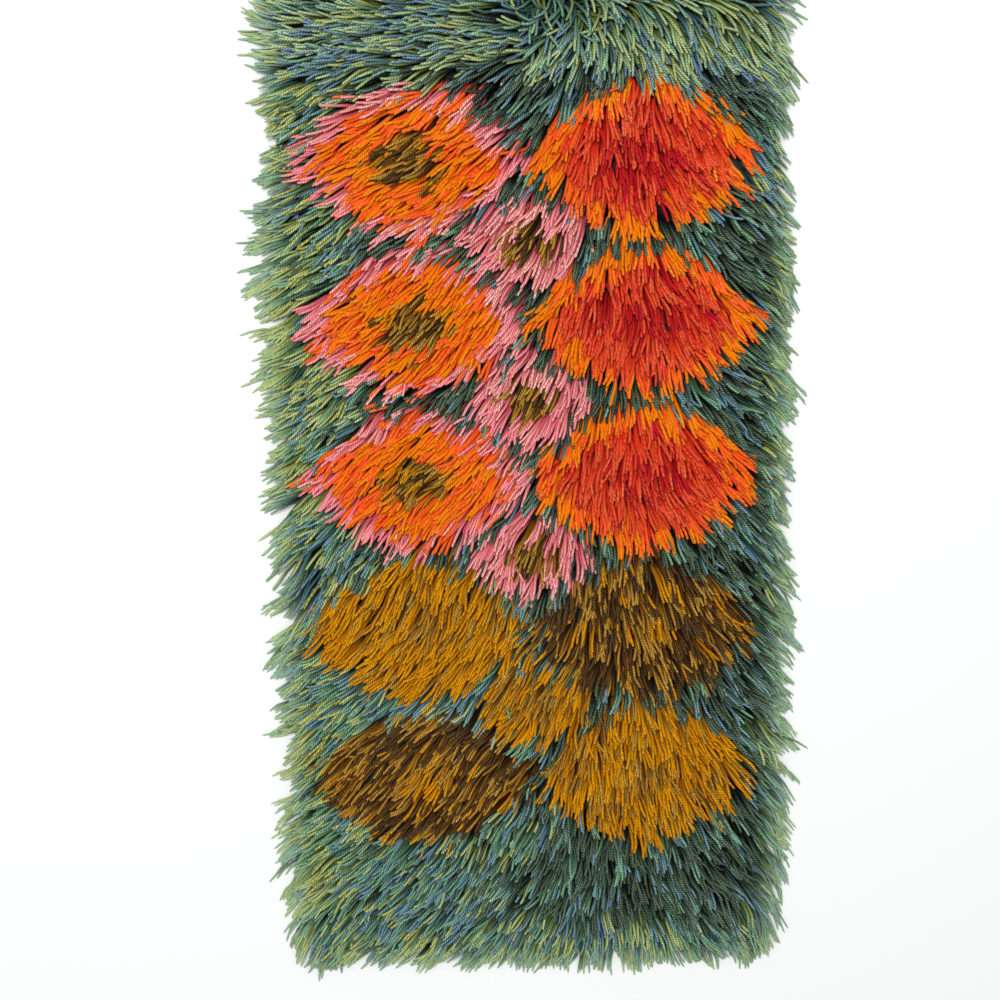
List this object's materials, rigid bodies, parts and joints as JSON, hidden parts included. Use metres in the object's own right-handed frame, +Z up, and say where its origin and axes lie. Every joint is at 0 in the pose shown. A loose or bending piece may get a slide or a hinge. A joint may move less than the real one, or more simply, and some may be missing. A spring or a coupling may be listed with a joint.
{
  "type": "rya rug",
  "caption": "Small long-pile rya rug lying flat: a woven ground cloth with a deep knotted wool pile that leans one way and spreads over its edges.",
  "frame": {"origin": "on the floor, under the middle of the whole rug, pile and all", "axes": "+Z up out of the pile, +Y along the rug to its top end, +X across it to the right; the pile leans towards -Y"},
  "size_m": [0.517, 1.004, 0.0352],
  "materials": {
    "ground_wool": "matte",
    "pile_yarn": "matte",
    "yarn_lime": "matte",
    "yarn_sea_green": "matte",
    "yarn_blue": "matte",
    "yarn_deep_green": "matte",
    "yarn_orange": "matte",
    "yarn_amber": "matte",
    "yarn_red": "matte",
    "yarn_crimson": "matte",
    "yarn_pink": "matte",
    "yarn_ochre": "matte",
    "yarn_olive": "matte",
    "yarn_brown": "matte"
  },
  "bodies": {
    "root": {"ground_weave": "ground_wool", "shag_pile": "pile_yarn"}
  },
  "joints": []
}
